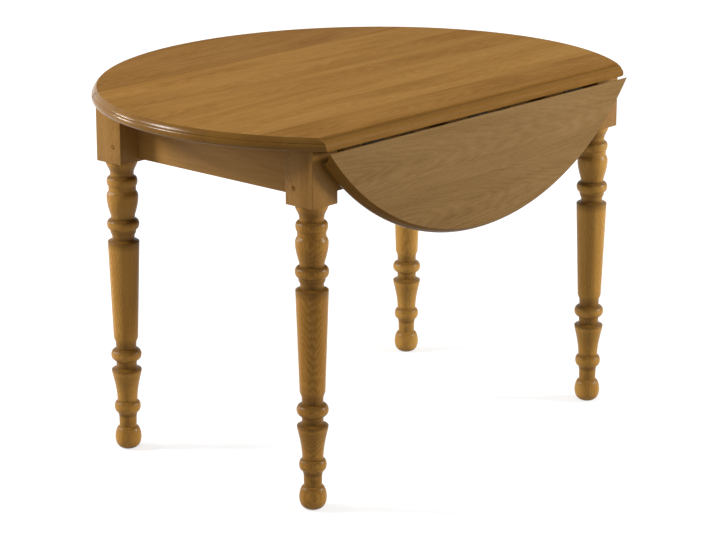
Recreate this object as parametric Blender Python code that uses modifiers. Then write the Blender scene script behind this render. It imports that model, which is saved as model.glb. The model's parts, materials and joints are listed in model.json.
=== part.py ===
"""Round drop leaf table: a centre top on a pegged frame with turned legs, and two hinged leaves.

Metres, +Z up, X along the hinge lines, -Y towards the leaf that hangs down. The origin is on the floor,
in the middle of the space that the table takes up with one leaf down and the other raised.
"""

import math

import bmesh
import bpy
from mathutils import Matrix

# Top: an oval close to a circle, divided into a centre and two leaves
TABLE_HEIGHT = 0.750
TOP_LENGTH = 1.150
TOP_WIDTH = 1.074
TOP_THICKNESS = 0.025

# Rim moulding: a thumbnail round with a crisp upper edge, a quirk and a fuller round below it
RIM_INSET = 0.011
THUMBNAIL_INSET = 0.003
THUMBNAIL_HEIGHT = 0.010
THUMBNAIL_FROM = math.radians(55)
THUMBNAIL_TO = math.radians(80)
QUIRK_DEPTH = 0.002
BULLNOSE_RISE = 0.009
BULLNOSE_UNDERCUT = 0.004

# Rule joint: an ovolo on the centre top and a cove on the leaf, which turns about the hinge axis
FILLET = 0.004
OVOLO_RADIUS = 0.018
AXIS_DROP = 0.002
JOINT_CLEARANCE = 0.0008
SEAM = 0.001

# Frame: legs with square blocks, aprons set flush with the blocks' inner faces
LEG_SPACING_X = 0.880
LEG_SPACING_Y = 0.522
LEG_SQUARE = 0.070
BLOCK_HEIGHT = 0.113
APRON_HEIGHT = 0.107
APRON_THICKNESS = 0.021
LEAF_TO_LEG = 0.008

# Tenons: the long aprons' tenons sit above those of the short aprons, so that they pass in the leg
TENON_THICKNESS = 0.010
TENON_LENGTH = 0.034
TENON_SHOULDER = 0.010
TENON_SPACE = 0.012
PEG_RADIUS = 0.0045
PEG_SETBACK = 0.021
PEG_PAST_TENON = 0.002

# Corner braces: where each meets the aprons, measured from the inner corner
BRACE_NEAR = 0.040
BRACE_FAR = 0.085
BRACE_HEIGHT = 0.045
BRACE_BELOW_TOP = 0.030

# Leg turning, from the block down: shape, height, radius at its lower end and, for a bead, its largest radius.
# The long taper has no height of its own: it takes up what the other shapes leave.
TURNING_START_RADIUS = 0.0325
TURNING = (
    ("ogee", 0.026, 0.0241, 0),
    ("line", 0.006, 0.0243, 0),
    ("bead", 0.020, 0.0283, 0.0314),
    ("line", 0.010, 0.0278, 0),
    ("round", 0.012, 0.0323, 0),
    ("round", 0.040, 0.0246, 0),
    ("line", 0.007, 0.0243, 0),
    ("bead", 0.022, 0.0266, 0.0330),
    ("line", 0.006, 0.0262, 0),
    ("line", 0.007, 0.0230, 0),
    ("line", 0.008, 0.0228, 0),
    ("round", 0.005, 0.0323, 0),
    ("taper", None, 0.0250, 0),
    ("line", 0.010, 0.0212, 0),
    ("line", 0.014, 0.0208, 0),
    ("bead", 0.025, 0.0214, 0.0313),
    ("line", 0.015, 0.0207, 0),
    ("round", 0.005, 0.0309, 0),
    ("line", 0.006, 0.0302, 0),
    ("cove", 0.062, 0.0206, 0),
    ("bead", 0.023, 0.0216, 0.0270),
    ("cove", 0.012, 0.0182, 0),
    ("line", 0.020, 0.0176, 0),
    ("bead", 0.047, 0.0110, 0.0272),
)

# Hinges, three to a leaf
HINGE_LENGTH = 0.060
HINGE_SPACING = 0.310
HINGE_THICKNESS = 0.002
HINGE_PLATE_REACH = 0.034
HINGE_FLAP_REACH = 0.066
KNUCKLE_RADIUS = 0.0045
HINGE_PIN_RADIUS = 0.002
HINGE_PIN_HEAD = 0.0015
KNUCKLE_GROOVE = 0.001

# Leaf stays, two to a leaf: a bracket on the long apron, a strut and a track under the leaf
STAY_SPACING = 0.300
STAY_PIVOT_DROP = 0.052
STAY_PIVOT_INSET = 0.026
STRUT_LENGTH = 0.135
STRUT_THICKNESS = 0.003
STRUT_EYE_RADIUS = 0.007
STRUT_TIP_RADIUS = 0.0035
ROLLER_RADIUS = 0.004
ROLLER_LENGTH = 0.014
TRACK_THICKNESS = 0.0015
TRACK_WALL_HEIGHT = 0.004
TRACK_END = 0.010
BRACKET_THICKNESS = 0.0025
BRACKET_WIDTH = 0.036
BRACKET_HEIGHT = 0.050
STAY_PIN_RADIUS = 0.0025
STAY_PIN_HEAD_RADIUS = 0.0045
STAY_PIN_HEAD = 0.002

# Clearance between pieces that touch, and the facets of curved shapes
FIT_GAP = 0.0003
CUT_MARGIN = 0.010
TOP_STEPS = 72
LEG_STEPS = 16
ROD_SIDES = 12
ARC_STEPS = 5
ROUND_STEPS = 2
COVE_STEPS = 2
OGEE_STEPS = 3
BEAD_STEPS = 4

# Places that follow from the sizes above
UNDERSIDE = TABLE_HEIGHT - TOP_THICKNESS
FRAME_TOP = UNDERSIDE - FIT_GAP
BLOCK_BOTTOM = UNDERSIDE - BLOCK_HEIGHT
APRON_BOTTOM = UNDERSIDE - APRON_HEIGHT
LEG_FACE_Y = (LEG_SPACING_Y + LEG_SQUARE) / 2
INNER_X = (LEG_SPACING_X - LEG_SQUARE) / 2
INNER_Y = (LEG_SPACING_Y - LEG_SQUARE) / 2
HINGE_Y = LEG_FACE_Y + LEAF_TO_LEG - AXIS_DROP
HINGE_Z = UNDERSIDE - AXIS_DROP
COVE_RADIUS = TOP_THICKNESS + AXIS_DROP - FILLET + JOINT_CLEARANCE
TENON_HEIGHT = (APRON_HEIGHT - 2 * TENON_SHOULDER - TENON_SPACE) / 2
UPPER_TENON_TOP = UNDERSIDE - TENON_SHOULDER
LOWER_TENON_TOP = APRON_BOTTOM + TENON_SHOULDER + TENON_HEIGHT
PEG_LENGTH = LEG_SQUARE - (APRON_THICKNESS - TENON_THICKNESS) / 2 + PEG_PAST_TENON
BRACKET_FACE = INNER_Y + APRON_THICKNESS + FIT_GAP - HINGE_Y
ROLLER_DROP = ROLLER_RADIUS + TRACK_THICKNESS + 2 * FIT_GAP - AXIS_DROP
FRONT_EDGE = HINGE_Y + AXIS_DROP + TOP_THICKNESS
CENTRE_SHIFT = (FRONT_EDGE - TOP_WIDTH / 2) / 2

# Slide of the roller along the leaf and slope of the strut, for a raised and a hanging leaf
PIVOT_TO_LEAF = STAY_PIVOT_DROP - ROLLER_DROP
ROLLER_RAISED = math.sqrt(STRUT_LENGTH**2 - PIVOT_TO_LEAF**2) - STAY_PIVOT_INSET
STRUT_RAISED_ANGLE = math.asin(PIVOT_TO_LEAF / STRUT_LENGTH)
PIVOT_TO_HANGING = STAY_PIVOT_INSET - ROLLER_DROP
ROLLER_HANGING = STAY_PIVOT_DROP + math.sqrt(STRUT_LENGTH**2 - PIVOT_TO_HANGING**2)
STRUT_HANGING_ANGLE = -math.acos(PIVOT_TO_HANGING / STRUT_LENGTH)

for old in list(bpy.data.objects):
    bpy.data.objects.remove(old)


def new_collection(name):
    collection = bpy.data.collections.new(name)
    bpy.context.scene.collection.children.link(collection)
    return collection


PARTS = new_collection("drop_leaf_table")
CUTTERS = new_collection("cutters")


def new_material(name, colour, roughness, metallic=0.0):
    material = bpy.data.materials.new(name)
    material.use_nodes = True
    shader = material.node_tree.nodes["Principled BSDF"]
    shader.inputs["Base Color"].default_value = (*colour, 1.0)
    shader.inputs["Roughness"].default_value = roughness
    shader.inputs["Metallic"].default_value = metallic
    return material


OAK_TOP = new_material("oak_top", (0.36, 0.19, 0.055), 0.38)
OAK_LEG = new_material("oak_leg", (0.30, 0.16, 0.05), 0.42)
OAK_APRON = new_material("oak_apron", (0.27, 0.14, 0.045), 0.45)
OAK_PEG = new_material("oak_peg", (0.19, 0.10, 0.03), 0.5)
BROWN_STEEL = new_material("bronzed_steel", (0.22, 0.16, 0.09), 0.35, 0.9)


def mesh_from(bm, name):
    mesh = bpy.data.meshes.new(name)
    bm.to_mesh(mesh)
    bm.free()
    return mesh


def box(low, high):
    """A box between two corners."""
    size = [b - a for a, b in zip(low, high)]
    middle = [(a + b) / 2 for a, b in zip(low, high)]
    bm = bmesh.new()
    bmesh.ops.create_cube(bm, matrix=Matrix.Translation(middle) @ Matrix.Diagonal((*size, 1)))
    return mesh_from(bm, "box")


def rod(radius, start, end, y=0.0, z=0.0, axis="X"):
    """A round rod along X, or along Y with y standing for x."""
    length = end - start
    if axis == "X":
        place = Matrix.Translation(((start + end) / 2, y, z)) @ Matrix.Rotation(math.pi / 2, 4, "Y")
    else:
        place = Matrix.Translation((y, (start + end) / 2, z)) @ Matrix.Rotation(math.pi / 2, 4, "X")
    bm = bmesh.new()
    bmesh.ops.create_cone(
        bm, cap_ends=True, segments=ROD_SIDES, radius1=radius, radius2=radius, depth=length, matrix=place
    )
    mesh = mesh_from(bm, "rod")
    mesh.shade_smooth()
    mesh.set_sharp_from_angle(angle=math.radians(40))
    return mesh


def mesh_of(obj):
    """A plain mesh of an object's evaluated shape. The object is removed."""
    graph = bpy.context.evaluated_depsgraph_get()
    mesh = bpy.data.meshes.new_from_object(obj.evaluated_get(graph))
    bpy.data.objects.remove(obj)
    bm = bmesh.new()
    bm.from_mesh(mesh)
    bmesh.ops.remove_doubles(bm, verts=bm.verts, dist=1e-6)
    bm.to_mesh(mesh)
    bm.free()
    return mesh


def plate(outline, thickness):
    """A flat outline in the XY plane, with its thickness centred on it."""
    curve = bpy.data.curves.new("outline", "CURVE")
    curve.dimensions = "2D"
    curve.fill_mode = "BOTH"
    curve.extrude = thickness / 2
    spline = curve.splines.new("POLY")
    spline.points.add(len(outline) - 1)
    for point, (x, y) in zip(spline.points, outline):
        point.co = (x, y, 0, 1)
    spline.use_cyclic_u = True
    guide = bpy.data.objects.new("outline", curve)
    CUTTERS.objects.link(guide)
    return mesh_of(guide)


def section(outline, length):
    """A section drawn in the YZ plane, extruded along X and centred on it."""
    mesh = plate(outline, length)
    turn = Matrix(((0, 0, 1, 0), (1, 0, 0, 0), (0, 1, 0, 0), (0, 0, 0, 1)))
    mesh.transform(turn)
    return mesh


def turned(profile, steps):
    """A profile of (radius, z) points, given from the top down, turned about Z."""
    mesh = bpy.data.meshes.new("profile")
    edges = [(i, i + 1) for i in range(len(profile) - 1)]
    mesh.from_pydata([(radius, 0, z) for radius, z in profile], edges, [])
    guide = bpy.data.objects.new("profile", mesh)
    CUTTERS.objects.link(guide)
    screw = guide.modifiers.new("turn", "SCREW")
    screw.steps = steps
    screw.render_steps = steps
    screw.use_merge_vertices = True
    screw.merge_threshold = 1e-5
    result = mesh_of(guide)
    result.shade_smooth()
    result.set_sharp_from_angle(angle=math.radians(35))
    return result


def arc(centre, radius, start, end, steps):
    """Points of an arc, with its angles in degrees."""
    angles = [math.radians(start + (end - start) * i / steps) for i in range(steps + 1)]
    return [(centre[0] + radius * math.cos(a), centre[1] + radius * math.sin(a)) for a in angles]


def place(name, mesh, material, parent, location=(0, 0, 0), rotation=(0, 0, 0)):
    mesh.name = name
    mesh.materials.clear()
    mesh.materials.append(material)
    piece = bpy.data.objects.new(name, mesh)
    PARTS.objects.link(piece)
    piece.parent = parent
    piece.location = location
    piece.rotation_euler = rotation
    return piece


def combine(piece, operation, mesh):
    """Joins a mesh to a piece, or cuts it out. The mesh is in the piece's own frame."""
    other = bpy.data.objects.new(f"{piece.name}.{operation.lower()}", mesh)
    CUTTERS.objects.link(other)
    other.parent = piece
    other.hide_render = True
    other.display_type = "WIRE"
    boolean = piece.modifiers.new(operation.lower(), "BOOLEAN")
    boolean.operation = operation
    boolean.solver = "EXACT"
    boolean.object = other


def join(piece, *meshes):
    for mesh in meshes:
        combine(piece, "UNION", mesh)


def cut(piece, *meshes):
    for mesh in meshes:
        combine(piece, "DIFFERENCE", mesh)


def frame_at(name, parent, location, rotation=(0, 0, 0)):
    empty = bpy.data.objects.new(name, None)
    PARTS.objects.link(empty)
    empty.parent = parent
    empty.location = location
    empty.rotation_euler = rotation
    return empty


TABLE = frame_at("table_centre", None, (0, CENTRE_SHIFT, 0))


def top_blank():
    """The whole oval top before it is divided, with its top face at TABLE_HEIGHT."""
    radius = TOP_LENGTH / 2
    quirk = radius - THUMBNAIL_INSET - QUIRK_DEPTH
    below = TOP_THICKNESS - THUMBNAIL_HEIGHT - BULLNOSE_RISE
    profile = [(0, 0)]
    wide = math.sin(THUMBNAIL_TO) - math.sin(THUMBNAIL_FROM)
    tall = math.cos(THUMBNAIL_FROM) - math.cos(THUMBNAIL_TO)
    for i in range(3):
        a = THUMBNAIL_FROM + (THUMBNAIL_TO - THUMBNAIL_FROM) * i / 2
        out = radius - RIM_INSET + (RIM_INSET - THUMBNAIL_INSET) * (math.sin(a) - math.sin(THUMBNAIL_FROM)) / wide
        profile.append((out, -THUMBNAIL_HEIGHT * (math.cos(THUMBNAIL_FROM) - math.cos(a)) / tall))
    for i in range(4):
        a = math.pi / 2 * i / 3
        out = quirk + (radius - quirk) * math.sin(a)
        profile.append((out, -THUMBNAIL_HEIGHT - BULLNOSE_RISE * (1 - math.cos(a))))
    for i in range(1, 4):
        a = math.pi / 2 * i / 3
        out = radius - BULLNOSE_UNDERCUT * (1 - math.cos(a))
        profile.append((out, -THUMBNAIL_HEIGHT - BULLNOSE_RISE - below * math.sin(a)))
    profile.append((0, -TOP_THICKNESS))
    mesh = turned(profile, TOP_STEPS)
    oval = Matrix.Diagonal((1, TOP_WIDTH / TOP_LENGTH, 1, 1))
    mesh.transform(Matrix.Translation((0, 0, TABLE_HEIGHT)) @ oval)
    return mesh


def make_centre_top():
    """The fixed middle of the top, with an ovolo along both hinge lines."""
    piece = place("centre_top", top_blank(), OAK_TOP, TABLE)
    half = [(HINGE_Y, TABLE_HEIGHT + CUT_MARGIN), (HINGE_Y, TABLE_HEIGHT - FILLET)]
    ovolo_centre = (HINGE_Y, TABLE_HEIGHT - FILLET - OVOLO_RADIUS)
    half += arc(ovolo_centre, OVOLO_RADIUS, 90, 0, ARC_STEPS)[1:]
    half.append((HINGE_Y + OVOLO_RADIUS, UNDERSIDE - CUT_MARGIN))
    outline = half + [(-y, z) for y, z in reversed(half)]
    combine(piece, "INTERSECT", section(outline, TOP_LENGTH + 2 * CUT_MARGIN))
    groove = KNUCKLE_RADIUS + KNUCKLE_GROOVE
    reach = HINGE_LENGTH / 2 + HINGE_PIN_HEAD + KNUCKLE_GROOVE
    for side in (-1, 1):
        for x in hinge_places():
            cut(piece, rod(groove, x - reach, x + reach, side * HINGE_Y, HINGE_Z))


def leaf_mesh_blank():
    """The top's blank in the hinge's frame: +Y outwards from the hinge axis, which is at the origin."""
    mesh = top_blank()
    mesh.transform(Matrix.Translation((0, -HINGE_Y, -HINGE_Z)))
    return mesh


def make_leaf(name, hinge):
    """A leaf with the cove that turns round the ovolo."""
    piece = place(name, leaf_mesh_blank(), OAK_TOP, hinge)
    lip = math.degrees(math.acos(SEAM / COVE_RADIUS))
    far = -TOP_WIDTH
    outline = [(far, -CUT_MARGIN), (far, TOP_THICKNESS + AXIS_DROP + CUT_MARGIN)]
    outline.append((SEAM, TOP_THICKNESS + AXIS_DROP + CUT_MARGIN))
    outline += arc((0, 0), COVE_RADIUS, lip, 0, ARC_STEPS)
    outline.append((COVE_RADIUS, -CUT_MARGIN))
    cut(piece, section(outline, TOP_LENGTH + 2 * CUT_MARGIN))


def turning_points():
    """The leg's profile below its block, as (radius, z) points from the top down."""
    spare = BLOCK_BOTTOM - sum(height for _, height, _, _ in TURNING if height)
    points = [(TURNING_START_RADIUS, BLOCK_BOTTOM)]
    z = BLOCK_BOTTOM
    radius = TURNING_START_RADIUS
    steps = {"round": ROUND_STEPS, "cove": COVE_STEPS, "ogee": OGEE_STEPS, "bead": BEAD_STEPS}
    for shape, height, end, swell in TURNING:
        height = height or spare
        count = steps.get(shape, 1)
        for i in range(1, count + 1):
            t = i / count
            if shape == "bead":
                t = (1 - math.cos(math.pi * i / count)) / 2
            straight = radius + (end - radius) * t
            grows = end > radius
            sine, cosine = math.sin(t * math.pi / 2), math.cos(t * math.pi / 2)
            if shape == "bead":
                out = straight + (swell - straight) * math.sin(math.pi * i / count)
            elif shape == "ogee":
                out = radius + (end - radius) * (1 - math.cos(t * math.pi)) / 2
            elif shape == "round":
                out = radius + (end - radius) * (sine if grows else 1 - cosine)
            elif shape == "cove":
                out = radius + (end - radius) * (1 - cosine if grows else sine)
            else:
                out = straight
            points.append((out, z - height * t))
        z -= height
        radius = end
    return points


def make_leg(name, side_x, side_y):
    """A turned leg under a square block, mortised for its two aprons."""
    blend = BLOCK_BOTTOM + LEG_SQUARE / 4
    profile = [(0, blend), (TURNING_START_RADIUS, blend)] + turning_points() + [(0, 0)]
    place_at = (side_x * LEG_SPACING_X / 2, side_y * LEG_SPACING_Y / 2, 0)
    piece = place(name, turned(profile, LEG_STEPS), OAK_LEG, TABLE, place_at)
    half = LEG_SQUARE / 2
    join(piece, box((-half, -half, BLOCK_BOTTOM), (half, half, FRAME_TOP)))
    tenon_middle = half - APRON_THICKNESS / 2
    wide = TENON_THICKNESS / 2 + FIT_GAP
    deep = half - TENON_LENGTH - FIT_GAP
    upper = (UPPER_TENON_TOP - TENON_HEIGHT - FIT_GAP, UPPER_TENON_TOP + FIT_GAP)
    lower = (LOWER_TENON_TOP - TENON_HEIGHT - FIT_GAP, LOWER_TENON_TOP + FIT_GAP)
    inner = half + CUT_MARGIN
    y = -side_y * tenon_middle
    x = -side_x * tenon_middle
    ends_x = sorted((-side_x * deep, -side_x * inner))
    ends_y = sorted((-side_y * deep, -side_y * inner))
    cut(piece, box((ends_x[0], y - wide, upper[0]), (ends_x[1], y + wide, upper[1])))
    cut(piece, box((x - wide, ends_y[0], lower[0]), (x + wide, ends_y[1], lower[1])))
    hole = PEG_RADIUS + FIT_GAP
    peg_place = half - PEG_SETBACK
    end = half - PEG_LENGTH - FIT_GAP
    along_y = sorted((side_y * inner, side_y * end))
    along_x = sorted((side_x * inner, side_x * end))
    cut(piece, rod(hole, *along_y, -side_x * peg_place, UPPER_TENON_TOP - TENON_HEIGHT / 2, "Y"))
    cut(piece, rod(hole, *along_x, -side_y * peg_place, LOWER_TENON_TOP - TENON_HEIGHT / 2, "X"))


def make_pegs(corner, side_x, side_y):
    """The two pegs of a leg, each driven in from an outer face and through a tenon."""
    x = side_x * INNER_X
    y = side_y * INNER_Y
    ends_y = sorted((y + side_y * LEG_SQUARE, y + side_y * (LEG_SQUARE - PEG_LENGTH)))
    ends_x = sorted((x + side_x * LEG_SQUARE, x + side_x * (LEG_SQUARE - PEG_LENGTH)))
    upper = rod(PEG_RADIUS, *ends_y, x + side_x * PEG_SETBACK, UPPER_TENON_TOP - TENON_HEIGHT / 2, "Y")
    lower = rod(PEG_RADIUS, *ends_x, y + side_y * PEG_SETBACK, LOWER_TENON_TOP - TENON_HEIGHT / 2, "X")
    place(f"peg_{corner}_long", upper, OAK_PEG, TABLE)
    place(f"peg_{corner}_short", lower, OAK_PEG, TABLE)


def make_long_apron(name, side_y):
    """An apron along X, with its tenons in the upper part of the legs."""
    near, far = sorted((side_y * INNER_Y, side_y * (INNER_Y + APRON_THICKNESS)))
    length = INNER_X - FIT_GAP
    piece = place(name, box((-length, near, APRON_BOTTOM), (length, far, FRAME_TOP)), OAK_APRON, TABLE)
    middle = (near + far) / 2
    wide = TENON_THICKNESS / 2
    bottom = UPPER_TENON_TOP - TENON_HEIGHT
    reach = INNER_X + TENON_LENGTH
    join(piece, box((-reach, middle - wide, bottom), (reach, middle + wide, UPPER_TENON_TOP)))
    hole = PEG_RADIUS + FIT_GAP
    for side_x in (-1, 1):
        x = side_x * (INNER_X + PEG_SETBACK)
        cut(piece, rod(hole, near - CUT_MARGIN, far + CUT_MARGIN, x, bottom + TENON_HEIGHT / 2, "Y"))


def make_short_apron(name, side_x):
    """An apron along Y, with its tenons in the lower part of the legs."""
    near, far = sorted((side_x * INNER_X, side_x * (INNER_X + APRON_THICKNESS)))
    length = INNER_Y - FIT_GAP
    piece = place(name, box((near, -length, APRON_BOTTOM), (far, length, FRAME_TOP)), OAK_APRON, TABLE)
    middle = (near + far) / 2
    wide = TENON_THICKNESS / 2
    bottom = LOWER_TENON_TOP - TENON_HEIGHT
    reach = INNER_Y + TENON_LENGTH
    join(piece, box((middle - wide, -reach, bottom), (middle + wide, reach, LOWER_TENON_TOP)))
    hole = PEG_RADIUS + FIT_GAP
    for side_y in (-1, 1):
        y = side_y * (INNER_Y + PEG_SETBACK)
        cut(piece, rod(hole, near - CUT_MARGIN, far + CUT_MARGIN, y, bottom + TENON_HEIGHT / 2, "X"))


def make_brace(corner, side_x, side_y):
    """A diagonal brace between two aprons, in front of the leg's inner corner."""
    x = side_x * (INNER_X - FIT_GAP)
    y = side_y * (INNER_Y - FIT_GAP)
    outline = [
        (x - side_x * BRACE_NEAR, y),
        (x - side_x * BRACE_FAR, y),
        (x, y - side_y * BRACE_FAR),
        (x, y - side_y * BRACE_NEAR),
    ]
    height = UNDERSIDE - BRACE_BELOW_TOP - BRACE_HEIGHT / 2
    place(f"corner_brace_{corner}", plate(outline, BRACE_HEIGHT), OAK_APRON, TABLE, (0, 0, height))


def hinge_places():
    return (-HINGE_SPACING, 0.0, HINGE_SPACING)


def make_hinge(label, x, fixed, moving):
    """A hinge: the plate under the centre top, the flap under the leaf and the pin between their knuckles."""
    top = AXIS_DROP - FIT_GAP
    bottom = top - HINGE_THICKNESS
    half = HINGE_LENGTH / 2
    third = HINGE_LENGTH / 6
    wall = (KNUCKLE_RADIUS + HINGE_PIN_RADIUS) / 2
    clear = KNUCKLE_RADIUS + FIT_GAP
    bore = HINGE_PIN_RADIUS + FIT_GAP
    bore_mesh = rod(bore, -half - CUT_MARGIN, half + CUT_MARGIN)

    plate_piece = place(
        f"hinge_plate_{label}",
        box((-half, -HINGE_PLATE_REACH, bottom), (half, -wall, top)),
        BROWN_STEEL, fixed, (x, 0, 0),
    )
    cut(plate_piece, rod(clear, -third - FIT_GAP, third + FIT_GAP))
    join(plate_piece, rod(KNUCKLE_RADIUS, -half, -third - FIT_GAP), rod(KNUCKLE_RADIUS, third + FIT_GAP, half))
    cut(plate_piece, bore_mesh)

    flap_piece = place(
        f"hinge_flap_{label}",
        box((-half, wall, bottom), (half, HINGE_FLAP_REACH, top)),
        BROWN_STEEL, moving, (x, 0, 0),
    )
    cut(flap_piece, rod(clear, -half - CUT_MARGIN, -third), rod(clear, third, half + CUT_MARGIN))
    join(flap_piece, rod(KNUCKLE_RADIUS, -third, third))
    cut(flap_piece, bore_mesh.copy())

    inner = half + FIT_GAP
    outer = inner + HINGE_PIN_HEAD
    end = inner + HINGE_PIN_HEAD / 2
    head = KNUCKLE_RADIUS - FIT_GAP
    pin = place(f"hinge_pin_{label}", rod(HINGE_PIN_RADIUS, -end, end), BROWN_STEEL, fixed, (x, 0, 0))
    join(pin, rod(head, inner, outer), rod(head, -outer, -inner))


def link_outline(length, eye, tip):
    """A bar along +X with a round eye at its start and a smaller round tip."""
    slope = math.degrees(math.asin((eye - tip) / length))
    points = arc((0, 0), eye, 90 - slope, 270 + slope, ARC_STEPS)
    points += arc((length, 0), tip, -90 + slope, 90 - slope, ARC_STEPS)
    return points


def link(length, eye, tip, thickness):
    """A flat bar along +Y in the YZ plane, with its thickness along X."""
    return section(link_outline(length, eye, tip), thickness)


def make_stay(label, x, fixed, moving, strut_angle):
    """A leaf stay: bracket, pivot pin, strut with its roller, and the track that the roller runs in."""
    pivot = (x, -STAY_PIVOT_INSET, -STAY_PIVOT_DROP)
    base = BRACKET_FACE + STAY_PIVOT_INSET
    half_width = BRACKET_WIDTH / 2
    half_height = BRACKET_HEIGHT / 2
    bracket = place(
        f"stay_bracket_{label}",
        box((-half_width, base, -half_height), (half_width, base + BRACKET_THICKNESS, half_height)),
        BROWN_STEEL, fixed, pivot,
    )
    lug_place = STRUT_THICKNESS / 2 + FIT_GAP + BRACKET_THICKNESS / 2
    root = base + BRACKET_THICKNESS / 2
    outline = [(root, STRUT_EYE_RADIUS), (root, -STRUT_EYE_RADIUS)]
    outline += arc((0, 0), STRUT_EYE_RADIUS, -90, 90, ARC_STEPS)
    for side in (-1, 1):
        lug = section(outline, BRACKET_THICKNESS)
        lug.transform(Matrix.Translation((side * lug_place, 0, 0)))
        join(bracket, lug)
    cut(bracket, rod(STAY_PIN_RADIUS + FIT_GAP, -half_width, half_width))

    inner = lug_place + BRACKET_THICKNESS / 2 + FIT_GAP
    outer = inner + STAY_PIN_HEAD
    pin_end = inner + STAY_PIN_HEAD / 2
    pin = place(f"stay_pin_{label}", rod(STAY_PIN_RADIUS, -pin_end, pin_end), BROWN_STEEL, fixed, pivot)
    join(pin, rod(STAY_PIN_HEAD_RADIUS, inner, outer), rod(STAY_PIN_HEAD_RADIUS, -outer, -inner))

    strut = place(
        f"stay_strut_{label}",
        link(STRUT_LENGTH, STRUT_EYE_RADIUS, STRUT_TIP_RADIUS, STRUT_THICKNESS),
        BROWN_STEEL, fixed, pivot, (strut_angle, 0, 0),
    )
    join(strut, rod(ROLLER_RADIUS, -ROLLER_LENGTH / 2, ROLLER_LENGTH / 2, STRUT_LENGTH))
    cut(strut, rod(STAY_PIN_RADIUS + FIT_GAP, -half_width, half_width))

    top = AXIS_DROP - FIT_GAP
    bottom = top - TRACK_THICKNESS - TRACK_WALL_HEIGHT
    slot = ROLLER_LENGTH / 2 + TRACK_THICKNESS
    start = ROLLER_RAISED - TRACK_END
    end = ROLLER_HANGING + TRACK_END
    wall = slot + TRACK_THICKNESS
    track = place(
        f"stay_track_{label}", box((-wall, start, bottom), (wall, end, top)), BROWN_STEEL, moving, (x, 0, 0)
    )
    pocket = (
        (-slot, start - CUT_MARGIN, bottom - CUT_MARGIN),
        (slot, end - TRACK_THICKNESS, top - TRACK_THICKNESS),
    )
    cut(track, box(*pocket))


make_centre_top()
for side_x, across in ((-1, "left"), (1, "right")):
    make_short_apron(f"apron_{across}", side_x)
    for side_y, along in ((-1, "front"), (1, "rear")):
        corner = f"{along}_{across}"
        make_leg(f"leg_{corner}", side_x, side_y)
        make_pegs(corner, side_x, side_y)
        make_brace(corner, side_x, side_y)

# The front leaf hangs and the rear leaf is raised. Each hinge frame has +Y outwards from the table.
for side_y, along, drop in ((-1, "front", math.pi / 2), (1, "rear", 0.0)):
    make_long_apron(f"apron_{along}", side_y)
    facing = math.pi if side_y < 0 else 0.0
    fixed = frame_at(f"{along}_hinge_line", TABLE, (0, side_y * HINGE_Y, HINGE_Z), (0, 0, facing))
    moving = frame_at(f"{along}_leaf_swing", fixed, (0, 0, 0), (-drop, 0, 0))
    make_leaf(f"leaf_{along}", moving)
    for x, across in zip(hinge_places(), ("left", "middle", "right")):
        make_hinge(f"{along}_{across}", side_y * x, fixed, moving)
    strut_angle = STRUT_HANGING_ANGLE if drop else STRUT_RAISED_ANGLE
    for x, across in ((-STAY_SPACING / 2, "left"), (STAY_SPACING / 2, "right")):
        make_stay(f"{along}_{across}", side_y * x, fixed, moving, strut_angle)
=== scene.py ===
# %% [markdown]
# # A round drop leaf table in oak
# The real table is a top in three pieces on a pegged frame with turned legs. One leaf hangs and
# the other is raised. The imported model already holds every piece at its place, so this lesson
# keeps those places and makes the finer surfaces: turned mouldings, rule joints, grain, lacquer
# and screws.

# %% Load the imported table
import json
import math

import bmesh
import bpy
from mathutils import Matrix, Vector

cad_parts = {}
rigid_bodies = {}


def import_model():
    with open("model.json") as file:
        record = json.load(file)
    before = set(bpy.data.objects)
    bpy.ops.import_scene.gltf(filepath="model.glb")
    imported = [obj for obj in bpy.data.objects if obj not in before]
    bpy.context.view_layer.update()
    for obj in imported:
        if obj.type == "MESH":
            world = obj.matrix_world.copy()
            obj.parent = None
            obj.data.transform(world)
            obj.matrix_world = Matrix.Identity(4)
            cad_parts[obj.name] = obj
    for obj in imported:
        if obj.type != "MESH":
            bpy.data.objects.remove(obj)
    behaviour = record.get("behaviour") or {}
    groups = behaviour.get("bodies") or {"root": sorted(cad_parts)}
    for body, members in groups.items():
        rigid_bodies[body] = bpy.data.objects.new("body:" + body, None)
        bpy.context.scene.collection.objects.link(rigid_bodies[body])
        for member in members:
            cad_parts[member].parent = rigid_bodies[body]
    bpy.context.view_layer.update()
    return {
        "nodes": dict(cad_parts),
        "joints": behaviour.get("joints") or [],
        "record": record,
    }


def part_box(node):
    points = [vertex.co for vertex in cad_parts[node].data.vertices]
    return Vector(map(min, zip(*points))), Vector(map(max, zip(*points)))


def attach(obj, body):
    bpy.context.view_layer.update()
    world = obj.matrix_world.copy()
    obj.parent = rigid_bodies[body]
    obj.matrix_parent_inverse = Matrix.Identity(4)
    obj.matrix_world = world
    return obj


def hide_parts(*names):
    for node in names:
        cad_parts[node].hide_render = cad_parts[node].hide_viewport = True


for old in list(bpy.data.objects):
    bpy.data.objects.remove(old)

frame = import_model()
nodes = frame["nodes"]
print("pieces in the frame:", len(nodes))

# %% [markdown]
# ## Measuring the frame
# A finer piece has to sit exactly where the plain one does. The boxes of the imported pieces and
# the places of the joints give the main sizes, so that the pieces fit without being placed by eye.

# %% Measure the frame
top_low, top_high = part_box("centre_top")
block_low, block_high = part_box("leg_rear_right")
hinge_places = {joint["child"]: Vector(joint["pos_m"]) for joint in frame["joints"]}

MM = 1000

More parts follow.
